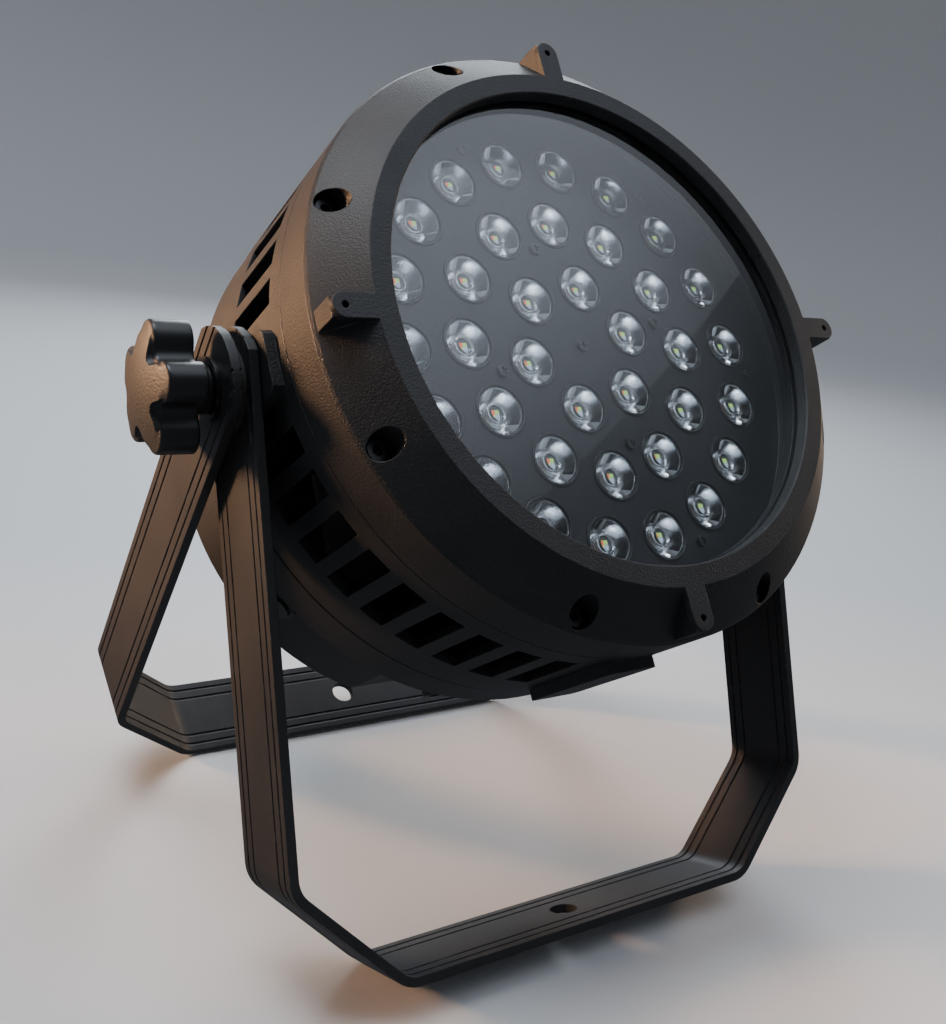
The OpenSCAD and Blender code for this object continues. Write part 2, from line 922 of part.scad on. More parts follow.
module bracket(half, leg) {
  w = strip_w / 2;
  difference() {
    intersection() {
      bracket_strip(half, leg, 0, strip_t, -w, w);
      // rounded ends of the legs
      rotate([90, 0, 90])
        translate([0, 0, -half - 1])
          linear_extrude(2 * half + 2)
            union() {
              translate([-w, -leg - 1])
                square([strip_w, leg + 1]);
              intersection() {
                circle(r = leg_top_r);
                square([strip_w, 2 * leg_top_r + 2], center = true);
              }
            }
    }
    // two grooves near each edge, inside and outside
    for (place = [-w + groove_edge, -w + groove_inner,
        w - groove_edge - groove_w, w - groove_inner - groove_w]) {
      bracket_strip(half, leg, -cut, groove_d, place, place + groove_w);
      bracket_strip(half, leg, strip_t - groove_d, strip_t + cut, place, place + groove_w);
    }
    rotate([0, 90, 0])
      cylinder(d = stud_hole_d, h = 2 * half + 2, center = true);
    translate([0, 0, -leg - cut])
      cylinder(d = bar_hole_d, h = strip_t + 2 * cut);
  }
}

module front_bracket() {
  color([0.1, 0.1, 0.105])
    at_pivot()
      rotate([-front_lean, 0, 0])
        bracket(front_half, front_leg);
}

module rear_bracket() {
  color([0.1, 0.1, 0.105])
    at_pivot()
      rotate([rear_lean, 0, 0])
        bracket(rear_half, rear_leg);
}

// ---------- pivot stack ----------

module friction_disc(side) {
  color([0.12, 0.11, 0.1])
    on_side(side)
      tube(washer_r, stud_hole_d / 2, pad_x, front_inner - run_gap);
}

module friction_disc_left() {
  friction_disc(-1);
}

module friction_disc_right() {
  friction_disc(1);
}

module spacer_disc(side) {
  color([0.1, 0.1, 0.1])
    on_side(side)
      tube(washer_r + 3, stud_hole_d / 2, front_half, rear_inner - run_gap);
}

module spacer_disc_left() {
  spacer_disc(-1);
}

module spacer_disc_right() {
  spacer_disc(1);
}

module clamp_washer(side) {
  color([0.2, 0.2, 0.2])
    on_side(side)
      tube(washer_r - 2, stud_hole_d / 2, rear_half, rear_half + washer_t);
}

module clamp_washer_left() {
  clamp_washer(-1);
}

module clamp_washer_right() {
  clamp_washer(1);
}

module clamp_stud(side) {
  color([0.55, 0.56, 0.58])
    on_side(side)
      translate([0, 0, boss_x + 2])
        cylinder(d = stud_d, h = knob_x + collar_len + stud_in_knob - boss_x - 2);
}

module clamp_stud_left() {
  clamp_stud(-1);
}

module clamp_stud_right() {
  clamp_stud(1);
}

// five lobes joined by round hollows; every arc runs smoothly into the next
module knob_outline() {
  lobe_r = knob_r * 0.296;
  lobe_at = knob_r - lobe_r;
  hub_r = knob_r * 0.737;
  hollow_r = knob_r * 0.1844;
  hollow_at = knob_r * 0.814;
  difference() {
    circle(r = hub_r);
    for (i = [0 : 4])
      rotate(36 + 72 * i)
        translate([hollow_at, 0])
          circle(r = hollow_r);
  }
  for (i = [0 : 4])
    rotate(72 * i)
      translate([lobe_at, 0])
        circle(r = lobe_r);
}

module clamp_knob(side) {
  dome_r = (knob_r * knob_r + knob_dome * knob_dome) / (2 * knob_dome);
  lobe_turn = 87;
  color([0.07, 0.07, 0.075])
    at_pivot()
      rotate([90, 0, side * 90])
        difference() {
          union() {
            translate([0, 0, knob_x])
              cylinder(r = collar_r, h = collar_len + 0.5);
            translate([0, 0, knob_x + collar_len])
              intersection() {
                linear_extrude(knob_len + knob_dome + 1)
                  rotate(side > 0 ? lobe_turn : 180 - lobe_turn)
                    knob_outline();
                translate([0, 0, knob_len + knob_dome - dome_r])
                  sphere(r = dome_r, $fn = 128);
              }
          }
          translate([0, 0, knob_x - cut])
            cylinder(d = insert_d, h = collar_len + stud_in_knob + cut);
        }
}

module clamp_knob_left() {
  clamp_knob(-1);
}

module clamp_knob_right() {
  clamp_knob(1);
}

front_bezel();
bezel_screws();
front_glass();
glass_seal();
glass_clamp_ring();
body_seal();
mask_plate();
mask_screws();
lenses();
lens_holders();
led_emitters();
led_board();
heat_sink();
body_housing();
rear_housing();
rear_housing_screws();
rear_seal();
rear_cover();
rear_cover_screws();
control_panel();
display_window();
button_menu();
button_down();
button_up();
button_enter();
power_sockets();
data_sockets();
socket_pins();
breather_valve();
safety_eye();
power_supply();
control_board();
board_pillars();
front_bracket();
rear_bracket();
friction_disc_left();
friction_disc_right();
spacer_disc_left();
spacer_disc_right();
clamp_washer_left();
clamp_washer_right();
clamp_stud_left();
clamp_stud_right();
clamp_knob_left();
clamp_knob_right();
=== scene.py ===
import json
import math
import random

import bmesh
import bpy
from mathutils import Matrix, Vector


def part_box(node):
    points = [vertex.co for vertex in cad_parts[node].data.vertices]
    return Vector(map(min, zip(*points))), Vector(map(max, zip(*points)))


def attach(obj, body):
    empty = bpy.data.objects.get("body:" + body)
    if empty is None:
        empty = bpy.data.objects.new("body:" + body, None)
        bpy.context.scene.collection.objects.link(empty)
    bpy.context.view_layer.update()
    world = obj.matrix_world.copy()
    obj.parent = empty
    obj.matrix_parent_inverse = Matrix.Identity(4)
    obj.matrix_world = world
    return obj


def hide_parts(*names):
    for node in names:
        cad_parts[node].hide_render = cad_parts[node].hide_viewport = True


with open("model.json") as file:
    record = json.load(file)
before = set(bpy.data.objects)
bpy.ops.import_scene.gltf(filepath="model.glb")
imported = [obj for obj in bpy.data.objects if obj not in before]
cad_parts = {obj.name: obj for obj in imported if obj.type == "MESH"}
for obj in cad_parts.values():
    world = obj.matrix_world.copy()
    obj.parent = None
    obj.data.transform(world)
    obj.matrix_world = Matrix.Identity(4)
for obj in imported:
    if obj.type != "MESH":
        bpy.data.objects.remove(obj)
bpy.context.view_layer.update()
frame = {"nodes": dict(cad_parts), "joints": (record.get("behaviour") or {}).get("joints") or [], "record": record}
nodes = frame["nodes"]
record = frame["record"]
mm = 0.001
weldDistance = 0.001 * mm
random.seed(11)
print("stage: frame loaded,", len(nodes), "nodes")

# places taken from the record

joints = {j["name"]: j for j in frame["joints"]}
mounts = {m["name"]: m for m in record["mounts"]}
pivot = Vector(joints["head_tilt"]["pos_m"])
lampAxis = Vector(mounts["lug_holes"]["axis"]).normalized()
pivotAxis = Vector((1, 0, 0))
headUp = lampAxis.cross(pivotAxis).normalized()
# turns head space (x across, y up the head, z forwards) into the row frame
headMatrix = Matrix.Translation(pivot) @ Matrix((pivotAxis, headUp, lampAxis)).transposed().to_4x4()


# small tools

def newObject(name, bm, materials, body, smoothAngle=30):
    # turns a bmesh in the row frame into a finished piece
    bmesh.ops.recalc_face_normals(bm, faces=bm.faces)
    mesh = bpy.data.meshes.new(name)
    bm.to_mesh(mesh)
    bm.free()
    for m in materials:
        mesh.materials.append(m)
    piece = bpy.data.objects.new(name, mesh)
    bpy.context.scene.collection.objects.link(piece)
    for p in mesh.polygons:
        p.use_smooth = True
    bpy.context.view_layer.objects.active = piece
    piece.select_set(True)
    bpy.ops.object.shade_smooth_by_angle(angle=math.radians(smoothAngle))
    piece.select_set(False)
    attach(piece, body)
    return piece


def spinProfile(bm, profile, steps):
    # full turn of a profile of (radius, height) about Z, welded, poles closed
    old = set(bm.verts)
    verts = [bm.verts.new((r, 0, z)) for r, z in profile]
    edges = [bm.edges.new(pair) for pair in zip(verts, verts[1:])]
    bmesh.ops.spin(bm, geom=verts + edges, cent=(0, 0, 0), axis=(0, 0, 1), angle=2 * math.pi,
                   steps=steps, use_merge=True)
    bmesh.ops.remove_doubles(bm, verts=[v for v in bm.verts if v not in old], dist=weldDistance)


def copyInto(bm, template, matrix):
    # adds a copy of a template mesh, placed by a matrix
    before = len(bm.verts)
    bm.from_mesh(template)
    bm.verts.ensure_lookup_table()
    bmesh.ops.transform(bm, matrix=matrix, verts=bm.verts[before:])


# shader groups

def makeGroup(name, inputs, outputs):
    group = bpy.data.node_groups.new(name, "ShaderNodeTree")
    for label, kind, value in inputs:
        socket = group.interface.new_socket(name=label, in_out="INPUT", socket_type=kind)
        socket.default_value = value
    for label, kind in outputs:
        group.interface.new_socket(name=label, in_out="OUTPUT", socket_type=kind)
    return group, group.nodes.new("NodeGroupInput"), group.nodes.new("NodeGroupOutput")


def feed(tree, socket, value):
    # links a socket to another one, or writes a number or a colour on it
    if isinstance(value, bpy.types.NodeSocket):
        tree.links.new(value, socket)
    elif isinstance(value, tuple):
        socket.default_value = (*value, 1)
    else:
        socket.default_value = value


def objectCoordinates(tree):
    return tree.nodes.new("ShaderNodeTexCoord").outputs["Object"]


def noise(tree, vector, scale, detail, roughness=0.5):
    n = tree.nodes.new("ShaderNodeTexNoise")
    for key, value in (("Vector", vector), ("Scale", scale), ("Detail", detail), ("Roughness", roughness)):
        feed(tree, n.inputs[key], value)
    return n.outputs["Fac"]


def mathNode(tree, operation, a, b, clamp=False):
    n = tree.nodes.new("ShaderNodeMath")
    n.operation = operation
    n.use_clamp = clamp
    feed(tree, n.inputs[0], a)
    feed(tree, n.inputs[1], b)
    return n.outputs[0]


def rangeNode(tree, value, low, high, toLow=0.0, toHigh=1.0, smooth=False):
    n = tree.nodes.new("ShaderNodeMapRange")
    n.interpolation_type = "SMOOTHSTEP" if smooth else "LINEAR"
    for key, number in (("From Min", low), ("From Max", high), ("To Min", toLow), ("To Max", toHigh)):
        n.inputs[key].default_value = number
    tree.links.new(value, n.inputs["Value"])
    return n.outputs["Result"]


def mixColour(tree, factor, a, b):
    n = tree.nodes.new("ShaderNodeMix")
    n.data_type = "RGBA"
    for key, value in (("Factor", factor), ("A", a), ("B", b)):
        feed(tree, n.inputs[key], value)
    return n.outputs["Result"]


def buildPowder():
    # fine orange-peel grain of a powder coat, with slow cloudy variation
    g, gi, go = makeGroup("powderCoat", [("Grain Scale", "NodeSocketFloat", 1500.0)],
                          [("Height", "NodeSocketFloat"), ("Fleck", "NodeSocketFloat"),
                           ("Cloud", "NodeSocketFloat")])
    co = objectCoordinates(g)
    grain = noise(g, co, gi.outputs["Grain Scale"], 2.0, 0.55)
    cells = g.nodes.new("ShaderNodeTexVoronoi")
    cells.feature = "SMOOTH_F1"
    g.links.new(co, cells.inputs["Vector"])
    g.links.new(gi.outputs["Grain Scale"], cells.inputs["Scale"])
    bumps = rangeNode(g, cells.outputs["Distance"], 0.0, 0.75, 1.0, 0.0, smooth=True)
    grainShare, bumpShare = 0.6, 0.5
    height = mathNode(g, "ADD", mathNode(g, "MULTIPLY", grain, grainShare),
                      mathNode(g, "MULTIPLY", bumps, bumpShare))
    g.links.new(height, go.inputs["Height"])
    g.links.new(rangeNode(g, height, 0.55, 0.95), go.inputs["Fleck"])
    cloudScale = 22.0
    g.links.new(rangeNode(g, noise(g, co, cloudScale, 3.0, 0.6), 0.3, 0.7), go.inputs["Cloud"])
    return g


def buildEdges():
    # soft rounding of sharp edges and a broken wear mask along them
    g, gi, go = makeGroup("edgeWear",
                          [("Radius", "NodeSocketFloat", 0.6 * mm), ("Breakup", "NodeSocketFloat", 160.0)],
                          [("Normal", "NodeSocketVector"), ("Wear", "NodeSocketFloat")])
    bevel = g.nodes.new("ShaderNodeBevel")
    bevel.samples = 6
    g.links.new(gi.outputs["Radius"], bevel.inputs["Radius"])
    flat = g.nodes.new("ShaderNodeNewGeometry").outputs["Normal"]
    dot = g.nodes.new("ShaderNodeVectorMath")
    dot.operation = "DOT_PRODUCT"
    g.links.new(bevel.outputs["Normal"], dot.inputs[0])
    g.links.new(flat, dot.inputs[1])
    nearEdge, onEdge = 0.995, 0.9
    mask = rangeNode(g, dot.outputs["Value"], nearEdge, onEdge)
    co = objectCoordinates(g)
    broken = rangeNode(g, noise(g, co, gi.outputs["Breakup"], 4.0, 0.65), 0.5, 0.68, smooth=True)
    g.links.new(bevel.outputs["Normal"], go.inputs["Normal"])
    g.links.new(mathNode(g, "MULTIPLY", mask, broken, clamp=True), go.inputs["Wear"])
    return g


def buildDust():
    # light dust that lies on faces that look up, patchy
    g, gi, go = makeGroup("dustFilm", [("Patch Scale", "NodeSocketFloat", 35.0)],
                          [("Mask", "NodeSocketFloat")])
    split = g.nodes.new("ShaderNodeSeparateXYZ")
    g.links.new(g.nodes.new("ShaderNodeNewGeometry").outputs["Normal"], split.inputs[0])
    steepest = 0.2
    up = rangeNode(g, split.outputs["Z"], steepest, 1.0, smooth=True)
    co = objectCoordinates(g)
    patch = rangeNode(g, noise(g, co, gi.outputs["Patch Scale"], 5.0, 0.7), 0.38, 0.75)
    g.links.new(mathNode(g, "MULTIPLY", up, patch, clamp=True), go.inputs["Mask"])
    return g


def buildSmudge():
    # faint wiped streaks and finger marks for glossy faces
    g, gi, go = makeGroup("smudge", [("Scale", "NodeSocketFloat", 18.0)], [("Mask", "NodeSocketFloat")])
    co = objectCoordinates(g)
    stretch = g.nodes.new("ShaderNodeMapping")
    stretch.inputs["Scale"].default_value = (1.0, 3.2, 1.4)
    stretch.inputs["Rotation"].default_value = (0.3, 0.5, 0.9)
    g.links.new(co, stretch.inputs["Vector"])
    g.links.new(rangeNode(g, noise(g, stretch.outputs["Vector"], gi.outputs["Scale"], 6.0, 0.6), 0.45, 0.8),
                go.inputs["Mask"])
    return g


powderGroup = buildPowder()
edgeGroup = buildEdges()
dustGroup = buildDust()
smudgeGroup = buildSmudge()


def useGroup(tree, group, **values):
    n = tree.nodes.new("ShaderNodeGroup")
    n.node_tree = group
    for key, value in values.items():
        n.inputs[key.replace("_", " ")].default_value = value
    return n


def newMaterial(name):
    m = bpy.data.materials.new(name)
    m.use_nodes = True
    tree = m.node_tree
    return m, tree, tree.nodes["Principled BSDF"]


def coatedMetal(name, look):
    # painted or moulded surface: grain, clouds, worn edges, dust
    m, tree, bsdf = newMaterial(name)
    powder = useGroup(tree, powderGroup, Grain_Scale=look["grainScale"])
    edges = useGroup(tree, edgeGroup, Radius=look["edgeRadius"], Breakup=look["breakup"])
    dust = useGroup(tree, dustGroup)
    base = mixColour(tree, powder.outputs["Cloud"], look["colour"], look["colourHigh"])
    layers = ((powder.outputs["Fleck"], "fleck"), (edges.outputs["Wear"], "wear"),
              (dust.outputs["Mask"], "dust"))
    for mask, layer in layers:
        amount = mathNode(tree, "MULTIPLY", mask, look[layer])
        base = mixColour(tree, amount, base, look[layer + "Colour"])
    tree.links.new(base, bsdf.inputs["Base Color"])
    clean = rangeNode(tree, powder.outputs["Cloud"], 0, 1, look["rough"], look["rough"] + look["roughSpread"])
    dusty = mathNode(tree, "MULTIPLY", dust.outputs["Mask"], look["dust"] * look["dustRough"])
    tree.links.new(mathNode(tree, "ADD", clean, dusty, clamp=True), bsdf.inputs["Roughness"])
    bsdf.inputs["Metallic"].default_value = look["metallic"]
    bsdf.inputs["Specular IOR Level"].default_value = look["specular"]
    bump = tree.nodes.new("ShaderNodeBump")
    bump.inputs["Strength"].default_value = look["bump"]
    bump.inputs["Distance"].default_value = look["bumpDepth"]
    tree.links.new(powder.outputs["Height"], bump.inputs["Height"])
    tree.links.new(edges.outputs["Normal"], bump.inputs["Normal"])
    tree.links.new(bump.outputs["Normal"], bsdf.inputs["Normal"])
    return m


baseLook = {
    "colour": (0.0075, 0.0078, 0.0085),
    "colourHigh": (0.012, 0.0122, 0.013),
    "fleck": 0.4,
    "fleckColour": (0.04, 0.04, 0.043),
    "wear": 0.35,
    "wearColour": (0.12, 0.12, 0.125),
    "dust": 0.10,
    "dustColour": (0.16, 0.155, 0.145),
    "dustRough": 0.4,
    "rough": 0.48,
    "roughSpread": 0.07,
    "metallic": 0.0,
    "specular": 0.42,
    "grainScale": 1300.0,
    "breakup": 140.0,
    "edgeRadius": 0.7 * mm,
    "bump": 0.8,
    "bumpDepth": 0.22 * mm,
}


def look(**changes):
    return {**baseLook, **changes}


# one entry per finish that shares the coated construction
coatLooks = {
    "housingPowder": look(),
    "bracketPowder": look(grainScale=1700.0, bump=0.4, rough=0.42, colour=(0.010, 0.010, 0.0105),
                          colourHigh=(0.016, 0.0155, 0.016), wear=0.5),
    "knobFace": look(grainScale=1100.0, bump=0.6, rough=0.5),
    "knobSide": look(grainScale=2600.0, bump=0.12, rough=0.3, fleck=0.1),
    "sealRubber": look(grainScale=2200.0, bump=0.2, rough=0.62, colour=(0.006, 0.006, 0.006),
                       colourHigh=(0.01, 0.01, 0.01), wear=0.05, fleck=0.1),
    "maskBlack": look(grainScale=2600.0, bump=0.05, rough=0.38, colour=(0.007, 0.0072, 0.008),
                      colourHigh=(0.011, 0.011, 0.0125), wear=0.15, fleck=0.15, dust=0.02),
    "holderBlack": look(grainScale=2400.0, bump=0.1, rough=0.33, colour=(0.008, 0.008, 0.0085),
                        colourHigh=(0.012, 0.012, 0.013), wear=0.1, fleck=0.1, dust=0.0),
    "sinkAnodised": look(grainScale=1900.0, bump=0.15, rough=0.36, metallic=0.7, colour=(0.03, 0.03, 0.032),
                         colourHigh=(0.05, 0.05, 0.053), wear=0.4),
    "screwBlack": look(grainScale=3000.0, bump=0.15, rough=0.3, metallic=0.85, colour=(0.035, 0.035, 0.037),
                       colourHigh=(0.06, 0.06, 0.063), edgeRadius=0.3 * mm, wear=0.7,
                       wearColour=(0.35, 0.35, 0.36)),
    "zincSteel": look(grainScale=2600.0, bump=0.1, rough=0.26, metallic=1.0, colour=(0.42, 0.42, 0.43),
                      colourHigh=(0.55, 0.55, 0.56), fleck=0.1, wearColour=(0.7, 0.7, 0.71),
                      edgeRadius=0.3 * mm),
    "panelSatin": look(grainScale=3200.0, bump=0.08, rough=0.3, colour=(0.02, 0.02, 0.022),
                       colourHigh=(0.028, 0.028, 0.03)),
    "buttonGrey": look(grainScale=2600.0, bump=0.15, rough=0.42, colour=(0.07, 0.07, 0.075),
                       colourHigh=(0.095, 0.095, 0.1), fleck=0.15),
    "socketPlastic": look(grainScale=2200.0, bump=0.2, rough=0.4, colour=(0.014, 0.014, 0.015),
                          colourHigh=(0.022, 0.022, 0.023)),
    "brassContact": look(grainScale=2600.0, bump=0.05, rough=0.22, metallic=1.0, colour=(0.6, 0.43, 0.18),
                         colourHigh=(0.72, 0.54, 0.25), fleck=0.05, dust=0.0, wearColour=(0.8, 0.65, 0.35)),
    "sheetMetal": look(grainScale=1800.0, bump=0.1, rough=0.34, metallic=0.9, colour=(0.5, 0.5, 0.51),
                       colourHigh=(0.6, 0.6, 0.61), wearColour=(0.75, 0.75, 0.76)),
    "boardWhite": look(grainScale=2000.0, bump=0.05, rough=0.4, colour=(0.6, 0.61, 0.6),
                       colourHigh=(0.7, 0.7, 0.69), fleck=0.1, fleckColour=(0.4, 0.4, 0.4), dust=0.0),
    "boardGreen": look(grainScale=1500.0, bump=0.1, rough=0.35, colour=(0.01, 0.09, 0.03),
                       colourHigh=(0.015, 0.13, 0.045), fleckColour=(0.3, 0.3, 0.2)),
    "frictionFibre": look(grainScale=1500.0, bump=0.4, rough=0.7, colour=(0.02, 0.018, 0.016),
                          colourHigh=(0.035, 0.03, 0.027)),
    "packageCeramic": look(grainScale=2600.0, bump=0.05, rough=0.35, colour=(0.2, 0.2, 0.21),
                           colourHigh=(0.27, 0.27, 0.28), dust=0.0, wear=0.0, fleck=0.05),
}
finishes = {name: coatedMetal(name, values) for name, values in coatLooks.items()}


def clearGlass(name, tint, roughLow, roughHigh, ior, smudgeScale):
    # clear solid that lets lamp light through
    m, tree, bsdf = newMaterial(name)
    bsdf.inputs["Transmission Weight"].default_value = 1.0
    bsdf.inputs["IOR"].default_value = ior
    smudge = useGroup(tree, smudgeGroup, Scale=smudgeScale)
    rough = rangeNode(tree, smudge.outputs["Mask"], 0, 1, roughLow, roughHigh)
    tree.links.new(rough, bsdf.inputs["Roughness"])
    wiped = tuple(c * 0.97 for c in tint)
    tree.links.new(mixColour(tree, smudge.outputs["Mask"], tint, wiped), bsdf.inputs["Base Color"])
    clear = tree.nodes.new("ShaderNodeBsdfTransparent")
    clear.inputs["Color"].default_value = (*tint, 1)
    path = tree.nodes.new("ShaderNodeLightPath")
    mix = tree.nodes.new("ShaderNodeMixShader")
    tree.links.new(path.outputs["Is Shadow Ray"], mix.inputs["Fac"])
    tree.links.new(bsdf.outputs["BSDF"], mix.inputs[1])
    tree.links.new(clear.outputs["BSDF"], mix.inputs[2])
    tree.links.new(mix.outputs["Shader"], tree.nodes["Material Output"].inputs["Surface"])
    return m


finishes["frontGlass"] = clearGlass("frontGlass", (0.93, 0.96, 0.97), 0.0, 0.02, 1.45, 14.0)
finishes["lensClear"] = clearGlass("lensClear", (0.97, 0.98, 0.99), 0.0, 0.015, 1.49, 120.0)
finishes["displaySmoke"] = clearGlass("displaySmoke", (0.1, 0.14, 0.16), 0.02, 0.12, 1.5, 60.0)


mirrorLook = {
    "streakScale": 26.0,
    "streakShare": 0.6,
    "ringScale": 7.0,
    "ringShare": 0.5,
    # dull and bright: the two ends of the painted reflection streaks in the mirror's colour
    "dull": (0.5, 0.52, 0.54),
    "bright": (0.97, 0.97, 0.97),
    "dullRough": 0.13,
    "brightRough": 0.04,
    "bump": 0.35,
    "bumpDepth": 0.4 * mm,
}


def reflectorMaterial(values):
    # bright inside of a lens: radial streaks and soft rings seen through the clear body; the colour running from
    # dull to bright along them is painted reflection standing in for facet glints, and the streaks also set
    # roughness and bump
    m, tree, bsdf = newMaterial("lensMirror")
    bsdf.inputs["Metallic"].default_value = 1.0
    co = tree.nodes.new("ShaderNodeUVMap").outputs["UV"]
    streak = noise(tree, co, values["streakScale"], 4.0, 0.6)
    ring = noise(tree, co, values["ringScale"], 2.0, 0.5)
    shade = mathNode(tree, "ADD", mathNode(tree, "MULTIPLY", streak, values["streakShare"]),
                     mathNode(tree, "MULTIPLY", ring, values["ringShare"]))
    # painted reflection: the mirror's colour goes from dull to bright along the streaks and rings
    tree.links.new(mixColour(tree, rangeNode(tree, shade, 0.35, 0.7), values["dull"], values["bright"]),
                   bsdf.inputs["Base Color"])
    tree.links.new(rangeNode(tree, shade, 0.3, 0.8, values["dullRough"], values["brightRough"]),
                   bsdf.inputs["Roughness"])
    bump = tree.nodes.new("ShaderNodeBump")
    bump.inputs["Strength"].default_value = values["bump"]
    bump.inputs["Distance"].default_value = values["bumpDepth"]
    tree.links.new(streak, bump.inputs["Height"])
    tree.links.new(bump.outputs["Normal"], bsdf.inputs["Normal"])
    return m


finishes["lensMirror"] = reflectorMaterial(mirrorLook)


def dieMaterial(name, colour, glow):
    # phosphor or bare die of one colour, with a fine contact grid, and a painted glow: emission that stands in for
    # light falling on the die
    m, tree, bsdf = newMaterial(name)
    gridScale = 2400.0
    grid = noise(tree, objectCoordinates(tree), gridScale, 2.0)
    darker = tuple(c * 0.6 for c in colour)
    cover = mixColour(tree, rangeNode(tree, grid, 0.4, 0.6), darker, colour)
    tree.links.new(cover, bsdf.inputs["Base Color"])
    tree.links.new(rangeNode(tree, grid, 0.3, 0.7, 0.25, 0.45), bsdf.inputs["Roughness"])
    # painted glow: the die emits light of its own colour, though the lamp is not switched on
    bsdf.inputs["Emission Color"].default_value = (*colour, 1)
    bsdf.inputs["Emission Strength"].default_value = glow
    return m


print("stage: materials made")

# finishes on the frame's own nodes

nodeFinish = {
    "front_bezel": "housingPowder", "body_housing": "housingPowder", "rear_housing": "housingPowder",
    "rear_cover": "housingPowder", "front_bracket": "bracketPowder", "rear_bracket": "bracketPowder",
    "bezel_screws": "screwBlack", "rear_housing_screws": "screwBlack", "rear_cover_screws": "screwBlack",
    "mask_screws": "screwBlack", "front_glass": "frontGlass", "glass_seal": "sealRubber",
    "body_seal": "sealRubber", "rear_seal": "sealRubber", "glass_clamp_ring": "maskBlack",
    "mask_plate": "maskBlack", "lens_holders": "holderBlack", "led_board": "boardWhite",
    "heat_sink": "sinkAnodised", "control_panel": "panelSatin", "display_window": "displaySmoke",
    "power_sockets": "socketPlastic", "data_sockets": "socketPlastic", "socket_pins": "brassContact",
    "breather_valve": "socketPlastic", "safety_eye": "zincSteel", "power_supply": "sheetMetal",
    "control_board": "boardGreen", "board_pillars": "zincSteel",
    "friction_disc_left": "frictionFibre", "friction_disc_right": "frictionFibre",
    "spacer_disc_left": "frictionFibre", "spacer_disc_right": "frictionFibre",
    "clamp_washer_left": "screwBlack", "clamp_washer_right": "screwBlack",
    "clamp_stud_left": "zincSteel", "clamp_stud_right": "zincSteel",
    "clamp_knob_left": "knobSide", "clamp_knob_right": "knobSide",
    "lenses": "lensClear", "led_emitters": "packageCeramic",
    "button_menu": "buttonGrey", "button_down": "buttonGrey",
    "button_up": "buttonGrey", "button_enter": "buttonGrey",
}
for name, finish in nodeFinish.items():
    for slotOf in nodes[name].material_slots:
        slotOf.material = finishes[finish]

# knobs

knob = {
    "tipRadius": 27 * mm,
    "lobes": 5,
    # radius and centre distance of a lobe and of a hollow, as shares of the tip radius
    "lobeShares": (0.296, 0.704),
    "hollowShares": (0.1844, 0.814),
    "points": 150,
    "faceStart": 164.2 * mm,
    "length": 16 * mm,
    "dome": 4.4 * mm,
    "domeShares": (1.0, 0.94, 0.86, 0.76, 0.64, 0.5, 0.35, 0.2, 0.08),
    "edgeDrop": 0.12,
    "fillet": 1.6 * mm,
    "chamfer": 1.2 * mm,
    "bore": 5.2 * mm,
    "collarRadius": 10 * mm,
    "collarSoft": 0.6 * mm,
    "flare": 1.6 * mm,
    "flareFrom": -1.2 * mm,
    "flareTo": 0.4 * mm,
    "collarEnd": 1 * mm,
    "collarSteps": 64,
    "lobeTurn": 87.0,
}


def lobedRadius(angle, tip):
    # outline of round lobes joined by round hollows
    lobe, lobeAt = (tip * share for share in knob["lobeShares"])
    hollow, hollowAt = (tip * share for share in knob["hollowShares"])
    part = 2 * math.pi / knob["lobes"]
    a = abs((angle + part / 2) % part - part / 2)
    lobeCentre = Vector((lobeAt, 0))
    hollowCentre = Vector((hollowAt * math.cos(part / 2), hollowAt * math.sin(part / 2)))
    touch = lobeCentre + (hollowCentre - lobeCentre) * lobe / (lobe + hollow)
    if a < math.atan2(touch.y, touch.x):
        s = lobeAt * math.sin(a)
        return lobeAt * math.cos(a) + math.sqrt(max(lobe * lobe - s * s, 0))
    b = part / 2 - a
    s = hollowAt * math.sin(b)
    return hollowAt * math.cos(b) - math.sqrt(max(hollow * hollow - s * s, 0))


def knobRings():
    # inset and height of each ring, from the back of the knob round to the edge of its dome
    chamfer, f, top = knob["chamfer"], knob["fillet"], knob["length"]
    rings = []
    for i in range(5):
        a = math.radians(90 * i / 4)
        rings.append((chamfer * (1 - math.sin(a)), chamfer * (1 - math.cos(a))))
    rings += [(0, top * 0.35), (0, top * 0.65)]
    for i in range(7):
        a = math.radians(90 * i / 6)
        rings.append((f * (1 - math.cos(a)), top - f * (1 - math.sin(a))))
    return rings


def growRing(bm, edges):
    # pulls a new ring of edges out of the last one
    grown = bmesh.ops.extrude_edge_only(bm, edges=edges)["geom"]
    verts = [g for g in grown if isinstance(g, bmesh.types.BMVert)]
    return verts, [g for g in grown if isinstance(g, bmesh.types.BMEdge)]


def shapeRing(verts, inset, height):
    for v in verts:
        angle = math.atan2(v.co.y, v.co.x)
        r = lobedRadius(angle, knob["tipRadius"]) - inset
        v.co = Vector((r * math.cos(angle), r * math.sin(angle), height))


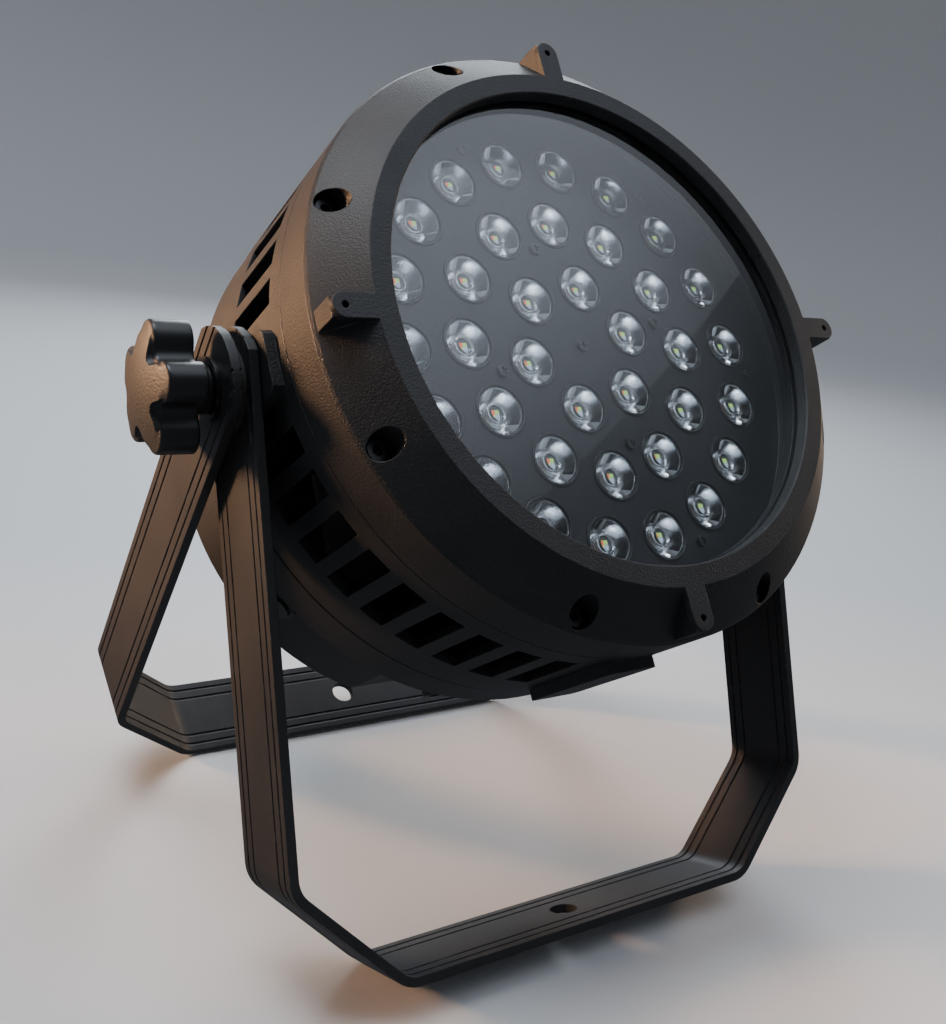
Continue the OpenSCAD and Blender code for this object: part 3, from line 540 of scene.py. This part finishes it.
def buildKnob(side):
    word = "left" if side < 0 else "right"
    bm = bmesh.new()
    verts = bmesh.ops.create_circle(bm, segments=knob["points"], radius=1.0, cap_ends=False)["verts"]
    edges = bm.edges[:]
    rings = knobRings()
    shapeRing(verts, *rings[0])
    bmesh.ops.contextual_create(bm, geom=edges)
    for inset, height in rings[1:]:
        verts, edges = growRing(bm, edges)
        shapeRing(verts, inset, height)
    # the dome: ever smaller copies of the last ring, lifted towards the middle
    for last, share in zip(knob["domeShares"], knob["domeShares"][1:]):
        verts, edges = growRing(bm, edges)
        bmesh.ops.scale(bm, vec=(share / last, share / last, 1), verts=verts)
        for v in verts:
            away = v.co.xy.length / knob["tipRadius"]
            v.co.z = knob["length"] + knob["dome"] * (1 - away * away - knob["edgeDrop"])
    bmesh.ops.contextual_create(bm, geom=edges)
    faceFrom = knob["length"] - knob["fillet"] * 0.25
    for f in bm.faces:
        f.material_index = 1 if f.calc_center_median().z > faceFrom else 0
    start, collar = knob["faceStart"], knob["collarRadius"]
    bmesh.ops.translate(bm, vec=(0, 0, start), verts=bm.verts[:])
    # round collar against the washer, with a flare where it meets the knob
    near, soft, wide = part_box("clamp_washer_right")[1].x, knob["collarSoft"], collar + knob["flare"]
    spinProfile(bm, [(knob["bore"], near), (collar - soft, near), (collar, near + soft),
                     (collar, start + knob["flareFrom"]), (wide, start + knob["flareTo"]),
                     (wide, start + knob["collarEnd"])], knob["collarSteps"])
    turn = math.radians(knob["lobeTurn"] if side > 0 else 180 - knob["lobeTurn"])
    toRow = (Matrix.Translation(pivot) @ Matrix.Rotation(math.radians(90) * side, 4, "Z")
             @ Matrix.Rotation(math.radians(90), 4, "X") @ Matrix.Rotation(turn, 4, "Z"))
    bmesh.ops.transform(bm, matrix=toRow, verts=bm.verts)
    piece = newObject("knob" + word.title(), bm, [finishes["knobSide"], finishes["knobFace"]], word + "_knob",
                      smoothAngle=35)
    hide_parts("clamp_knob_" + word)


for side in (-1, 1):
    buildKnob(side)
print("stage: knobs built")

# lenses and light sources

lens = {
    "rings": ((6, 30 * mm, 14.8), (12, 60 * mm, 0.0), (18, 90 * mm, 1.9)),
    "front": 46.5 * mm,
    "radius": 10.8 * mm,
    "back": 39.3 * mm,
    "postRadius": 4.6 * mm,
    "airGap": 0.2 * mm,
    "cavityRadius": 3.7 * mm,
    "cavityRoof": 41.3 * mm,
    "bulge": 0.9 * mm,
    "board": 33.5 * mm,
    "rimDrop": 1.4 * mm,
    "crown": 0.15 * mm,
    "crownHalfway": 0.1 * mm,
    "edgeInset": 0.5 * mm,
    "edgeRound": 0.2 * mm,
    "edgeDrop": 0.4 * mm,
    "mouthFlare": 0.2 * mm,
    "lipInset": 0.4 * mm,
    "lipTop": 0.1 * mm,
    "lipDepth": 0.6 * mm,
    "wallSteps": 8,
    "roofSteps": 5,
    "facets": 48,
    "mirrorWall": 0.25 * mm,
    "uvTurns": 3.0,
    "uvHeight": 48 * mm,
}


def lensPlaces():
    for count, radius, turn in lens["rings"]:
        for i in range(count):
            a = math.radians(turn + 360 * i / count)
            yield headMatrix @ Matrix.Translation((radius * math.cos(a), radius * math.sin(a), 0))


def ringUv(bm):
    # UV from the angle and the height about Z, for radial patterns
    layer = bm.loops.layers.uv.verify()
    for f in bm.faces:
        centre = f.calc_center_median()
        middle = math.atan2(centre.y, centre.x)
        for loop in f.loops:
            a = math.atan2(loop.vert.co.y, loop.vert.co.x)
            if a - middle > math.pi:
                a -= 2 * math.pi
            if middle - a > math.pi:
                a += 2 * math.pi
            loop[layer].uv = (a / (2 * math.pi) * lens["uvTurns"], loop.vert.co.z / lens["uvHeight"])


def lensTemplate(label, profile, patterned=False):
    bm = bmesh.new()
    spinProfile(bm, profile, lens["facets"])
    if patterned:
        ringUv(bm)
    bmesh.ops.recalc_face_normals(bm, faces=bm.faces)
    mesh = bpy.data.meshes.new(label)
    bm.to_mesh(mesh)
    bm.free()
    return mesh


def buildLenses():
    r, front, back, post = lens["radius"], lens["front"], lens["back"], lens["postRadius"]
    # bright bowl: a parabola from the rim down to the post
    wallTop, wall = front - lens["rimDrop"], []
    for i in range(lens["wallSteps"] + 1):
        share = i / lens["wallSteps"]
        wall.append((math.sqrt(r * r + (post * post - r * r) * share), wallTop + (back - wallTop) * share))
    # solid clear body inside the bowl, with a cavity under its middle whose roof enlarges the dies
    top = [(0, front + lens["crown"]), (r * 0.5, front + lens["crownHalfway"]),
           (r - lens["edgeInset"], front), (r - lens["edgeRound"], front - lens["edgeDrop"])]
    side = [(x - lens["airGap"], z) for x, z in wall]
    roof = []
    for i in range(lens["roofSteps"] + 1):
        share = 1 - i / lens["roofSteps"]
        roof.append((lens["cavityRadius"] * share, lens["cavityRoof"] - lens["bulge"] * (1 - share * share)))
    inside = [(lens["cavityRadius"] + lens["mouthFlare"], back)] + roof
    neck = post - lens["lipInset"]
    lip = [(neck, back - lens["lipTop"]), (neck, back - lens["lipDepth"])]
    clear = lensTemplate("clearTemplate", top + side + inside)
    mirror = lensTemplate("mirrorTemplate", wall + lip, patterned=True)
    body, cups = bmesh.new(), bmesh.new()
    for place in lensPlaces():
        turned = place @ Matrix.Rotation(random.uniform(0, 2 * math.pi), 4, "Z")
        copyInto(body, clear, turned)
        copyInto(cups, mirror, turned)
    piece = newObject("lensBodies", body, [finishes["lensClear"]], "head", smoothAngle=40)
    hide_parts("lenses")
    shell = newObject("lensMirrors", cups, [finishes["lensMirror"]], "head", smoothAngle=40)
    thick = shell.modifiers.new("wall", "SOLIDIFY")
    thick.thickness = lens["mirrorWall"]
    thick.offset = 0


emitter = {
    "package": 5.0 * mm,
    "height": 6.0 * mm,
    "bevel": 0.25 * mm,
    "die": 1.7 * mm,
    "gap": 0.2 * mm,
    "dieHeight": 0.3 * mm,
    "dieCorners": ((-1, 1), (1, 1), (1, -1), (-1, -1)),
    # radius and height above the package of each point of the ring round the dies
    "ring": ((2.6 * mm, -0.05 * mm), (2.6 * mm, 0.35 * mm), (2.9 * mm, 0.45 * mm),
             (3.2 * mm, 0.35 * mm), (3.2 * mm, -0.05 * mm)),
    "ringSteps": 32,
}
# the last number of each is the strength of its painted glow
dieFinishes = [
    dieMaterial("dieRed", (0.9, 0.16, 0.07), 0.9),
    dieMaterial("dieGreen", (0.45, 0.75, 0.2), 0.8),
    dieMaterial("dieBlue", (0.45, 0.55, 0.7), 0.6),
    dieMaterial("dieWhite", (0.95, 0.8, 0.35), 0.9),
]


def buildEmitters():
    template = bmesh.new()
    side, height, top = emitter["package"], emitter["height"], lens["board"] + emitter["height"]
    base = bmesh.ops.create_cube(template, size=1.0)["verts"]
    bmesh.ops.scale(template, vec=(side, side, height), verts=base)
    bmesh.ops.translate(template, vec=(0, 0, lens["board"] + height / 2), verts=base)
    bmesh.ops.bevel(template, geom=template.edges[:], offset=emitter["bevel"], segments=2, profile=0.5,
                    affect="EDGES", material=-1)
    spinProfile(template, [(radius, top + rise) for radius, rise in emitter["ring"]], emitter["ringSteps"])
    step = (emitter["die"] + emitter["gap"]) / 2
    for i, (dx, dy) in enumerate(emitter["dieCorners"]):
        before = set(template.faces)
        cube = bmesh.ops.create_cube(template, size=1.0)["verts"]
        bmesh.ops.scale(template, vec=(emitter["die"], emitter["die"], emitter["dieHeight"]), verts=cube)
        bmesh.ops.translate(template, vec=(dx * step, dy * step, top + emitter["dieHeight"] / 2), verts=cube)
        for f in set(template.faces) - before:
            f.material_index = i + 1
    mesh = bpy.data.meshes.new("emitterTemplate")
    template.to_mesh(mesh)
    template.free()
    bm = bmesh.new()
    for place in lensPlaces():
        copyInto(bm, mesh, place)
    piece = newObject("ledPackages", bm, [finishes["packageCeramic"]] + dieFinishes, "head")
    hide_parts("led_emitters")


buildLenses()
buildEmitters()
print("stage: lenses and emitters built")

# stage, light, camera

stageLook = {
    "floorColour": (0.62, 0.62, 0.62),
    "floorRough": 0.6,
    "mottleScale": 3.0,
    "mottleShare": 0.97,
    "floorRadius": 2.4,
    "sweepRadius": 1.2,
    "sweepSteps": 12,
    "roundSteps": 96,
    "wallTop": 3.2,
    "worldColour": (0.80, 0.87, 1.0),
    "worldStrength": 0.16,
    "skyGlow": 2.1,
    "skyTowards": (0.33, -0.10, 0.94),
    "skyEdge": 0.8,
    "lampTarget": (0, 0, 0.2),
}


def buildBackdrop():
    # round floor that sweeps up into a wall without a corner
    flat, bend, top = stageLook["floorRadius"], stageLook["sweepRadius"], stageLook["wallTop"]
    profile = [(0, 0), (flat * 0.5, 0)]
    for i in range(stageLook["sweepSteps"] + 1):
        a = math.radians(90 * i / stageLook["sweepSteps"])
        profile.append((flat + bend * math.sin(a), bend * (1 - math.cos(a))))
    profile.append((flat + bend, top))
    bm = bmesh.new()
    spinProfile(bm, profile, stageLook["roundSteps"])
    bmesh.ops.recalc_face_normals(bm, faces=bm.faces)
    bmesh.ops.reverse_faces(bm, faces=bm.faces[:])
    mesh = bpy.data.meshes.new("studioFloor")
    bm.to_mesh(mesh)
    bm.free()
    for p in mesh.polygons:
        p.use_smooth = True
    floor = bpy.data.objects.new("studioFloor", mesh)
    bpy.context.scene.collection.objects.link(floor)
    m, tree, bsdf = newMaterial("floorPaper")
    dark = tuple(c * stageLook["mottleShare"] for c in stageLook["floorColour"])
    mottle = noise(tree, objectCoordinates(tree), stageLook["mottleScale"], 3.0)
    tree.links.new(mixColour(tree, mottle, stageLook["floorColour"], dark), bsdf.inputs["Base Color"])
    bsdf.inputs["Roughness"].default_value = stageLook["floorRough"]
    mesh.materials.append(m)
    floor.visible_glossy = False  # gloss on the object mirrors the soft sky alone


def buildWorld():
    # dim even sky with one soft bright patch above, which the front glass mirrors
    world = bpy.data.worlds.new("studioWorld")
    world.use_nodes = True
    bpy.context.scene.world = world
    tree = world.node_tree
    background = tree.nodes["Background"]
    background.inputs["Color"].default_value = (*stageLook["worldColour"], 1)
    dot = tree.nodes.new("ShaderNodeVectorMath")
    dot.operation = "DOT_PRODUCT"
    tree.links.new(tree.nodes.new("ShaderNodeTexCoord").outputs["Generated"], dot.inputs[0])
    dot.inputs[1].default_value = Vector(stageLook["skyTowards"]).normalized()
    glow = rangeNode(tree, dot.outputs["Value"], stageLook["skyEdge"], 1.0,
                     stageLook["worldStrength"], stageLook["skyGlow"], smooth=True)
    tree.links.new(glow, background.inputs["Strength"])


coolTint = (0.86, 0.93, 1.0)
lamps = {
    "keyAbove": {"at": (-0.5, 0.2, 1.7), "size": 0.8, "watts": 15, "colour": coolTint, "spread": 160},
    "warmLeft": {"at": (-1.3, 0.95, 0.5), "size": 0.35, "watts": 1.7, "colour": (1, 0.56, 0.3), "spread": 22},
    "coolBack": {"at": (0.7, 1.3, 1.0), "size": 0.9, "watts": 14, "colour": coolTint, "spread": 160},
    "warmRight": {"at": (1.4, 0.2, 0.5), "size": 0.4, "watts": 0.5, "colour": (1, 0.72, 0.5), "spread": 30},
}


def buildLamps():
    target = Vector(stageLook["lampTarget"])
    for name, values in lamps.items():
        data = bpy.data.lights.new(name, "AREA")
        data.shape = "DISK"
        data.size = values["size"]
        data.energy = values["watts"]
        data.color = values["colour"]
        data.spread = math.radians(values["spread"])
        lamp = bpy.data.objects.new(name, data)
        lamp.location = values["at"]
        lamp.rotation_euler = (target - lamp.location).to_track_quat("-Z", "Y").to_euler()
        bpy.context.scene.collection.objects.link(lamp)


cameraView = {
    "fromPivot": (-0.3266, -0.4272, 0.1022),
    "turn": (72.772, -7.724, -33.475),
    "lens": 40.5,
    "film": 36.0,
}


def buildCamera():
    data = bpy.data.cameras.new("viewCamera")
    data.sensor_fit = "VERTICAL"
    data.sensor_height = cameraView["film"]
    data.lens = cameraView["lens"]
    data.clip_start = 0.01
    camera = bpy.data.objects.new("viewCamera", data)
    camera.location = pivot + Vector(cameraView["fromPivot"])
    camera.rotation_euler = [math.radians(a) for a in cameraView["turn"]]
    bpy.context.scene.collection.objects.link(camera)
    bpy.context.scene.camera = camera


buildBackdrop()
buildWorld()
buildLamps()
buildCamera()
print("stage: studio ready")

print("stage: end of script")
